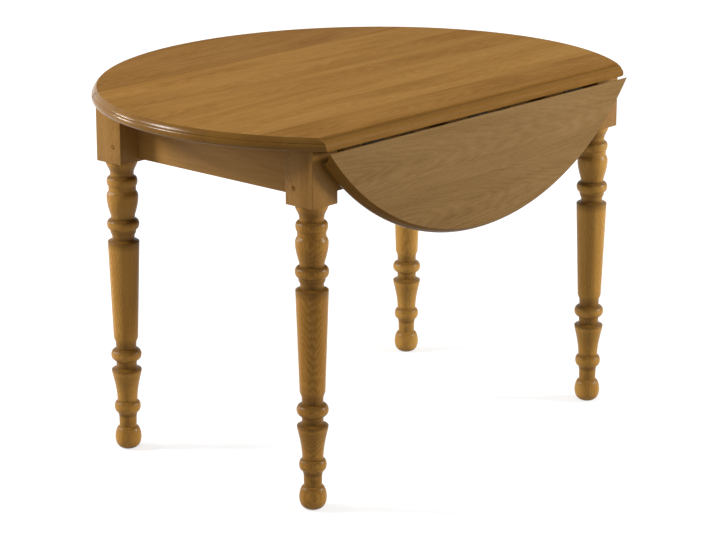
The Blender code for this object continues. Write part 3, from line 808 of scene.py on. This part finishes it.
# %% [markdown]
# ## Leaves
# Each leaf has a cove that turns round the ovolo. It is drawn once about the hinge axis, with y
# outwards, and then swung to its place: the rear leaf lies level and the front leaf hangs a
# quarter turn down.

# %% Leaves
JOINT_CLEARANCE = 0.0008
SEAM = 0.001
COVE_STEPS = 20

cove_radius = TOP_THICKNESS + AXIS_DROP - FILLET + JOINT_CLEARANCE
face_z = TOP_THICKNESS + AXIS_DROP
lip_angle = math.degrees(math.acos(SEAM / cove_radius))


def leaf_mesh():
    """A leaf in its hinge's own frame, level, with its broad faces up and down."""
    blank = moved(top_blank(), Matrix.Translation((0, -TABLE_Y - HINGE_Y, -HINGE_Z)))
    waste = [(-TOP_WIDTH, -CUT_MARGIN), (-TOP_WIDTH, face_z + CUT_MARGIN)]
    waste += [(SEAM + ARRIS + CUT_MARGIN, face_z + CUT_MARGIN), (SEAM, face_z - ARRIS)]
    waste += arc((0, 0), cove_radius, lip_angle, 0, COVE_STEPS)
    waste.append((cove_radius, -CUT_MARGIN))
    mesh = worked(blank, "DIFFERENCE", moulding(waste, TOP_LENGTH + 2 * CUT_MARGIN))
    paint_top_faces(mesh, -HINGE_Y)
    return mesh


rear_place = Matrix.Translation(hinge_places["rear_leaf"])
half_turn = Matrix.Rotation(math.pi, 4, "Z")
hanging_turn = Matrix.Rotation(-QUARTER, 4, "X")
front_place = Matrix.Translation(hinge_places["front_leaf"]) @ half_turn @ hanging_turn
rear_finishes = (rear_oak, rim_oak, joint_oak)
front_finishes = (front_oak, front_rim_oak, front_oak)
for along, place, finishes in (
    ("rear", rear_place, rear_finishes), ("front", front_place, front_finishes)
):
    leaf = moved(leaf_mesh(), place)
    body, replaced = f"{along}_leaf", [f"leaf_{along}"]
    show(f"oak_{along}_leaf", leaf, finishes, body, replaced, TOP_SMOOTH)

# %% [markdown]
# ## Turned legs
# A leg is a square block above a long run of mouldings: coves, beads, a bulb, a taper, a vase and
# a ball foot. Each shape is named with its height and its radius at the lower end, as a turner
# would mark out a pattern stick, and a formula draws the curve. The taper takes up the height
# that the others leave.

# %% Turned legs
LEG_STEPS = 72
BLOCK_ARRIS = 0.0012
TURNING_START_RADIUS = 0.0325
BLOCK_HEIGHT = 0.113
# shape, height, radius at its lower end, widest radius of a bead
TURNING = (
    ("ogee", 0.026, 0.0241, 0),
    ("line", 0.006, 0.0243, 0),
    ("bead", 0.020, 0.0283, 0.0314),
    ("line", 0.010, 0.0278, 0),
    ("round", 0.012, 0.0323, 0),
    ("round", 0.040, 0.0246, 0),
    ("line", 0.007, 0.0243, 0),
    ("bead", 0.022, 0.0266, 0.0330),
    ("line", 0.006, 0.0262, 0),
    ("line", 0.007, 0.0230, 0),
    ("line", 0.008, 0.0228, 0),
    ("round", 0.005, 0.0323, 0),
    ("taper", None, 0.0250, 0),
    ("line", 0.010, 0.0212, 0),
    ("line", 0.014, 0.0208, 0),
    ("bead", 0.025, 0.0214, 0.0313),
    ("line", 0.015, 0.0207, 0),
    ("round", 0.005, 0.0309, 0),
    ("line", 0.006, 0.0302, 0),
    ("cove", 0.062, 0.0206, 0),
    ("bead", 0.023, 0.0216, 0.0270),
    ("cove", 0.012, 0.0182, 0),
    ("line", 0.020, 0.0176, 0),
    ("bead", 0.047, 0.0110, 0.0272),
)
MOULDING_STEPS = {"line": 1, "taper": 12, "round": 8, "cove": 8, "ogee": 14, "bead": 14}

block_bottom = UNDERSIDE - BLOCK_HEIGHT
taper_height = block_bottom - sum(height for _, height, _, _ in TURNING if height)


def moulding_radius(shape, t, start, end, swell):
    """The radius at a part t of the way down a moulding."""
    straight = start + (end - start) * t
    rise = math.sin(t * math.pi / 2)
    fall = 1 - math.cos(t * math.pi / 2)
    grows = end > start
    if shape == "bead":
        return straight + (swell - straight) * 2 * math.sqrt(t * (1 - t))
    if shape == "ogee":
        return start + (end - start) * (1 - math.cos(t * math.pi)) / 2
    if shape == "round":
        return start + (end - start) * (rise if grows else fall)
    if shape == "cove":
        return start + (end - start) * (fall if grows else rise)
    return straight


def leg_profile():
    """The turning from its hidden end inside the block down to the floor."""
    z, radius = block_bottom, TURNING_START_RADIUS
    hidden_end = block_bottom + LEG_SQUARE / 4
    points = [(0, hidden_end), (radius, hidden_end), (radius, z)]
    for shape, height, end, swell in TURNING:
        height = height or taper_height
        for i in range(1, MOULDING_STEPS[shape] + 1):
            t = i / MOULDING_STEPS[shape]
            if shape == "bead":
                t = (1 - math.cos(math.pi * t)) / 2
            points.append((moulding_radius(shape, t, radius, end, swell), z - height * t))
        z -= height
        radius = end
    return points + [(0, 0)]


profile = leg_profile()
print(f"leg profile: {len(profile)} points, taper {taper_height * MM:.0f} mm")

# %% [markdown]
# The hollows between mouldings and the ledges under them are painted darker: partly the staining
# and wax that gather there, partly painted shade, which falls there. How much narrower the
# turning is than the widest place nearby says how hollow it is. An attribute carries that to the
# leg's finish, moved down a little so that it also covers the ledges.

# %% Staining and painted shade in the hollows
HOLLOW_REACH = 0.008
FULL_HOLLOW = 0.007
LEDGE = 0.0035
SHOULDER_MARGIN = 1e-4
HEIGHT_DIGITS = 5

turning_points = profile[2:-1]


def hollow_at(z):
    """How hollow the turning is at a height, from 0 on an open surface to 1 in a deep groove."""
    radius = min(turning_points, key=lambda point: abs(point[1] - z))[0]
    nearby = [r for r, height in turning_points if abs(height - z) < HOLLOW_REACH]
    widest = max(nearby + [radius])
    return min(1.0, (widest - radius) / FULL_HOLLOW)


# the hollow attribute sets the painted darkening: staining and painted shade
def stain_and_shade_hollows(mesh):
    """Writes the attribute on every point of a leg. The square block stays clear."""
    hollow = mesh.attributes.new("hollow", "FLOAT", "POINT")
    known = {}
    for point, value in zip(mesh.vertices, hollow.data):
        z = round(point.co.z, HEIGHT_DIGITS)
        if z not in known:
            turned_part = 0 < z < block_bottom - SHOULDER_MARGIN
            known[z] = hollow_at(z + LEDGE) if turned_part else 0.0
        value.value = known[z]


print(f"deepest hollow {max(hollow_at(z) for _, z in turning_points):.2f} of a full one")

# %% [markdown]
# The block joins the turning under a flat square shoulder. It is bored for its pegs and chopped
# out for the tenons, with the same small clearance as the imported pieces, so that nothing runs
# through anything else.

# %% Leg blocks
GAP = 0.0003
corners = {
    f"{along}_{across}": (side_x, side_y)
    for along, side_y in (("front", -1), ("rear", 1))
    for across, side_x in (("left", -1), ("right", 1))
}


def tenon_box(apron, low, high):
    """The corners of an apron's tenon, grown by the fitting gap.

    The tenon is the part of the apron that lies inside the leg's box, from low to high.
    """
    points = [vertex.co for vertex in nodes[apron].data.vertices]
    tenon = [p for p in points if all(a < c < b for a, c, b in zip(low, p, high))]
    gap = Vector((GAP, GAP, GAP))
    return Vector(map(min, *tenon)) - gap, Vector(map(max, *tenon)) + gap


for corner, (side_x, side_y) in corners.items():
    along, across = corner.split("_")
    low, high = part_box(f"leg_{corner}")
    place = Matrix.Translation(((low.x + high.x) / 2, (low.y + high.y) / 2, 0))
    turning = moved(turned(profile, LEG_STEPS), place)
    square = block((low.x, low.y, block_bottom), (high.x, high.y, FRAME_TOP), BLOCK_ARRIS)
    leg = worked(turning, "UNION", square)
    holes = []
    for way in ("long", "short"):
        peg_low, peg_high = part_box(f"peg_{corner}_{way}")
        spot = (peg_low + peg_high) / 2
        radius = (peg_high.z - peg_low.z) / 2 + GAP
        run = Vector((0, side_y, 0)) if way == "long" else Vector((side_x, 0, 0))
        depth = max(peg_high - peg_low) / 2
        holes.append(rod(radius, spot - run * (depth + GAP), spot + run * (depth + CUT_MARGIN)))
    for apron, axis, side in ((f"apron_{along}", 0, side_x), (f"apron_{across}", 1, side_y)):
        start, end = tenon_box(apron, low, high)
        if side > 0:
            start[axis] = low[axis] - CUT_MARGIN
        else:
            end[axis] = high[axis] + CUT_MARGIN
        holes.append(block(start, end))
    leg = worked(leg, "DIFFERENCE", *holes)
    stain_and_shade_hollows(leg)
    for polygon in leg.polygons:
        polygon.material_index = 1 if polygon.center.z > block_bottom - ARRIS else 0
    finishes = (leg_oak[across], block_oak)
    show(f"oak_leg_{corner}", leg, finishes, "frame", [f"leg_{corner}"])

# %% [markdown]
# ## Softened boards and metalwork
# Aprons, braces, hinges and stays already have their right shape. Real edges are never razor
# sharp, so a copy of each gets its loose triangles merged and a small bevel, which catches a line
# of light.

# %% Softened boards and metalwork
BOARD_ARRIS = 0.001
METAL_ARRIS = 0.0003
METAL_SMOOTH = 40
FLAT_ANGLE = math.radians(1)


def softened(name, width):
    """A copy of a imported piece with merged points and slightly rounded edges."""
    bm = bmesh.new()
    bm.from_mesh(nodes[name].data)
    bmesh.ops.remove_doubles(bm, verts=bm.verts, dist=MERGE_DISTANCE)
    bmesh.ops.dissolve_limit(bm, angle_limit=FLAT_ANGLE, verts=bm.verts, edges=bm.edges)
    mesh = mesh_from(bm)
    plain = bpy.data.meshes.new("shape")
    faces = [tuple(polygon.vertices) for polygon in mesh.polygons]
    plain.from_pydata([vertex.co for vertex in mesh.vertices], [], faces)
    guide = linked(plain)
    bevel = guide.modifiers.new("edges", "BEVEL")
    bevel.width = width
    bevel.segments = 2
    bevel.limit_method = "ANGLE"
    bevel.angle_limit = math.radians(EDGE_ANGLE)
    return plain_mesh(guide)


boards = {f"apron_{along}": long_apron_oak for along in ("front", "rear")}
boards.update({f"apron_{across}": short_apron_oak for across in ("left", "right")})
boards.update({f"corner_brace_{corner}": long_apron_oak for corner in corners})
for name, finish in boards.items():
    show(f"oak_{name}", softened(name, BOARD_ARRIS), (finish,), "frame", [name])

for body, members in frame["record"]["behaviour"]["bodies"].items():
    for name in members:
        if name.startswith(("hinge_", "stay_")):
            metal = softened(name, METAL_ARRIS)
            show(
                f"steel_{name}", metal, (hinge_steel,), body, [name], METAL_SMOOTH
            )

# %% [markdown]
# ## Pegs and screws
# Pegs and screws repeat all over the table, so Geometry Nodes places them: a mesh of bare points
# carries an attribute that says which way each one faces, and the tree sets a copy on every
# point. Its sizes are inputs, so one tree serves every place. The copies are made real at the
# end, because instances aren't exported.

# %% Points that face a way
SPIN_SEED = 4


def facing_points(name, places):
    """A mesh of points from pairs of a place and the direction faced there."""
    mesh = bpy.data.meshes.new(name)
    mesh.from_pydata([place for place, _ in places], [], [])
    facing = mesh.attributes.new("facing", "FLOAT_VECTOR", "POINT")
    for value, (_, way) in zip(facing.data, places):
        value.vector = way
    return linked(mesh, name)


def new_tree(name, sizes):
    """An empty Geometry Nodes tree with a geometry input, named sizes and a finish."""
    tree = bpy.data.node_groups.new(name, "GeometryNodeTree")
    tree.is_modifier = True
    tree.interface.new_socket("Points", in_out="INPUT", socket_type="NodeSocketGeometry")
    for size in sizes:
        tree.interface.new_socket(size, in_out="INPUT", socket_type="NodeSocketFloat")
    tree.interface.new_socket("Finish", in_out="INPUT", socket_type="NodeSocketMaterial")
    tree.interface.new_socket("Geometry", in_out="OUTPUT", socket_type="NodeSocketGeometry")
    return tree, tree.nodes.new("NodeGroupInput").outputs, tree.nodes.new("NodeGroupOutput").inputs


def set_on_points(tree, given, result, shape, spin):
    """Sets a shape on every point, turned to face its way, and makes the copies real."""
    facing = {"Name": "facing"}
    way = output(tree, "GeometryNodeInputNamedAttribute", facing, data_type="FLOAT_VECTOR")
    turn = output(tree, "FunctionNodeAlignRotationToVector", {"Vector": way}, axis="Z")
    if spin:
        chance = {"Max": math.pi, "Seed": SPIN_SEED}
        angle = node(tree, "FunctionNodeRandomValue", chance, data_type="FLOAT").outputs[1]
        twist = output(tree, "ShaderNodeCombineXYZ", {"Z": angle})
        turns = {0: turn, 1: output(tree, "FunctionNodeEulerToRotation", {0: twist})}
        turn = output(tree, "FunctionNodeRotateRotation", turns, rotation_space="LOCAL")
    setting = {"Points": given["Points"], "Instance": shape, "Rotation": turn}
    copies = output(tree, "GeometryNodeInstanceOnPoints", setting)
    real = output(tree, "GeometryNodeRealizeInstances", {0: copies})
    coat = {"Geometry": real, "Material": given["Finish"]}
    tree.links.new(output(tree, "GeometryNodeSetMaterial", coat), result["Geometry"])


def grown(tree, points, sizes, finish):
    """The mesh that a tree makes from points. The modifier goes with the points' object."""
    modifier = points.modifiers.new("grow", "NODES")
    modifier.node_group = tree
    for item in tree.interface.items_tree:
        if item.in_out == "INPUT" and item.name in sizes:
            modifier[item.identifier] = sizes[item.name]
        if item.in_out == "INPUT" and item.name == "Finish":
            modifier[item.identifier] = finish
    return plain_mesh(points)


print("point helpers ready")

# %% [markdown]
# A peg is a plain rod with chamfered ends that stands flush with the leg's face. In the tree it
# is an open tube with a short cone at each end, merged into one closed body.

# %% Pegs
PEG_SIDES = 28
PEG_CHAMFER = 0.0006

peg_tree, given, result = new_tree("oak_pegs", ("Radius", "Length", "Chamfer"))
both_ends = calculate(peg_tree, "MULTIPLY", given["Chamfer"], 2.0)
body_length = calculate(peg_tree, "SUBTRACT", given["Length"], both_ends)
tube_size = {"Vertices": PEG_SIDES, "Radius": given["Radius"], "Depth": body_length}
tube = node(peg_tree, "GeometryNodeMeshCylinder", tube_size, fill_type="NONE").outputs["Mesh"]
tip_size = {
    "Vertices": PEG_SIDES,
    "Radius Top": calculate(peg_tree, "SUBTRACT", given["Radius"], given["Chamfer"]),
    "Radius Bottom": given["Radius"],
    "Depth": given["Chamfer"],
}
cone = node(peg_tree, "GeometryNodeMeshCone", tip_size, fill_type="NGON").outputs
base = {"Geometry": cone["Mesh"], "Selection": cone["Bottom"]}
tip = output(peg_tree, "GeometryNodeDeleteGeometry", base, domain="FACE")
half_body = calculate(peg_tree, "MULTIPLY", body_length, 0.5)
up = output(peg_tree, "ShaderNodeCombineXYZ", {"Z": half_body})
upside_down = (math.pi, 0, 0)
upper = output(peg_tree, "GeometryNodeTransform", {"Geometry": tip, "Translation": up})
lower = output(peg_tree, "GeometryNodeTransform", {"Geometry": upper, "Rotation": upside_down})
joined = node(peg_tree, "GeometryNodeJoinGeometry")
for part in (lower, upper, tube):
    peg_tree.links.new(part, joined.inputs[0])
touching = {"Geometry": joined.outputs[0], "Distance": MERGE_DISTANCE}
merged = output(peg_tree, "GeometryNodeMergeByDistance", touching)
set_on_points(peg_tree, given, result, merged, spin=False)

peg_names, peg_places = [], []
for corner, (side_x, side_y) in corners.items():
    for run, way in (("long", (0, side_y, 0)), ("short", (side_x, 0, 0))):
        name = f"peg_{corner}_{run}"
        low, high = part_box(name)
        peg_names.append(name)
        peg_places.append(((low + high) / 2, Vector(way)))
peg_size = {"Radius": (high.z - low.z) / 2, "Length": max(high - low), "Chamfer": PEG_CHAMFER}
pegs = grown(peg_tree, facing_points("pegs", peg_places), peg_size, peg_oak)
show("oak_pegs", pegs, (peg_oak,), "frame", peg_names)

# %% [markdown]
# A screw shows only its low domed head with a slot. A flattened sphere gives the dome, a thin box
# cuts the slot, and each head is turned by chance about its own axis, as hand-driven screws are.

# %% Screws
HEAD_SIDES, HEAD_RINGS = 16, 8
SLOT_TO_RADIUS = 2.4

screw_tree, given, result = new_tree("slotted_screws", ("Head Radius", "Rise", "Slot Width"))
ball_size = {"Segments": HEAD_SIDES, "Rings": HEAD_RINGS, "Radius": given["Head Radius"]}
ball = node(screw_tree, "GeometryNodeMeshUVSphere", ball_size).outputs["Mesh"]
flatness = calculate(screw_tree, "DIVIDE", given["Rise"], given["Head Radius"])
squash = output(screw_tree, "ShaderNodeCombineXYZ", {"X": 1.0, "Y": 1.0, "Z": flatness})
dome = output(screw_tree, "GeometryNodeTransform", {"Geometry": ball, "Scale": squash})
slot_length = calculate(screw_tree, "MULTIPLY", given["Head Radius"], SLOT_TO_RADIUS)
slot_sides = {"X": slot_length, "Y": given["Slot Width"], "Z": given["Rise"]}
slot_size = output(screw_tree, "ShaderNodeCombineXYZ", slot_sides)
blade = node(screw_tree, "GeometryNodeMeshCube", {"Size": slot_size}).outputs["Mesh"]
lift = output(screw_tree, "ShaderNodeCombineXYZ", {"Z": given["Rise"]})
blade = output(screw_tree, "GeometryNodeTransform", {"Geometry": blade, "Translation": lift})
cut = {"Mesh 1": dome, "Mesh 2": blade}
slotted = node(screw_tree, "GeometryNodeMeshBoolean", cut, operation="DIFFERENCE").outputs["Mesh"]
set_on_points(screw_tree, given, result, slotted, spin=True)
print("screw tree ready")

# %% [markdown]
# The screws sit where a fitter would put them: three in each hinge plate and flap, four in each
# stay bracket, two in each track, and two through each corner brace into the leg.

# %% Screw places
SCREW_SIZE = {"Head Radius": 0.0036, "Rise": 0.0009, "Slot Width": 0.0009}
HEAD_SMOOTH = 30
SIDE = 0.018
EDGE = 0.010
PLATE_MIDDLE, FLAP_MIDDLE = 2 * EDGE, 2.2 * EDGE
BRACKET_PLATE = 0.0025
BRACKET_SIDE, BRACKET_RISE = 0.0125, 0.018
TRACK_BASE = 0.0015
TRACK_SCREWS = (0.35, 0.65)
BRACE_RISE = 0.011

screws = {"frame": [], "front_leaf": [], "rear_leaf": []}
down = Vector((0, 0, -1))
inward = Vector((0, 1, 0))
for along, side_y in (("front", -1), ("rear", 1)):
    for across in ("left", "middle", "right"):
        plate_low, plate_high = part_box(f"hinge_plate_{along}_{across}")
        x = (plate_low.x + plate_high.x) / 2
        plate_face = HINGE_Z - GAP
        inner_edge = plate_low.y if side_y > 0 else plate_high.y
        for step, back in ((-SIDE, EDGE), (SIDE, EDGE), (0, PLATE_MIDDLE)):
            spot = Vector((x + step, inner_edge + side_y * back, plate_face))
            screws["frame"].append((spot, down))
        axis = hinge_places[f"{along}_leaf"]
        flap_low, flap_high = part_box(f"hinge_flap_{along}_{across}")
        flap_reach = axis.z - flap_low.z if along == "front" else flap_high.y - axis.y
        for step, back in ((-SIDE, EDGE), (SIDE, EDGE), (0, FLAP_MIDDLE)):
            if along == "rear":
                spot = Vector((x + step, axis.y + flap_reach - back, plate_face))
                screws["rear_leaf"].append((spot, down))
            else:
                spot = Vector((x + step, axis.y + GAP, axis.z - flap_reach + back))
                screws["front_leaf"].append((spot, inward))

    for across in ("left", "right"):
        low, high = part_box(f"stay_bracket_{along}_{across}")
        x, z = (low.x + high.x) / 2, (low.z + high.z) / 2
        plate_y = low.y + BRACKET_PLATE if side_y > 0 else high.y - BRACKET_PLATE
        for step_x in (-BRACKET_SIDE, BRACKET_SIDE):
            for step_z in (-BRACKET_RISE, BRACKET_RISE):
                spot = Vector((x + step_x, plate_y, z + step_z))
                screws["frame"].append((spot, Vector((0, side_y, 0))))
        low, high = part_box(f"stay_track_{along}_{across}")
        for share in TRACK_SCREWS:
            spot = low.lerp(high, share)
            spot.x = x
            if along == "rear":
                spot.z = high.z - TRACK_BASE
                screws["rear_leaf"].append((spot, down))
            else:
                spot.y = low.y + TRACK_BASE
                screws["front_leaf"].append((spot, inward))

for corner, (side_x, side_y) in corners.items():
    low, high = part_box(f"corner_brace_{corner}")
    inner = (low + high) / 2
    inner.x = low.x if side_x > 0 else high.x
    inner.y = low.y if side_y > 0 else high.y
    span = high.x - low.x
    spot = inner + Vector((side_x * span / 2, side_y * span / 2, 0))
    way = Vector((-side_x, -side_y, 0)).normalized()
    for step in (-BRACE_RISE, BRACE_RISE):
        screws["frame"].append((spot + Vector((0, 0, step)), way))

for body, places in screws.items():
    heads = grown(screw_tree, facing_points(f"{body}_screws", places), SCREW_SIZE, screw_steel)
    show(f"steel_screws_{body}", heads, (screw_steel,), body, [], HEAD_SMOOTH)
    print(body, "screws:", len(places))
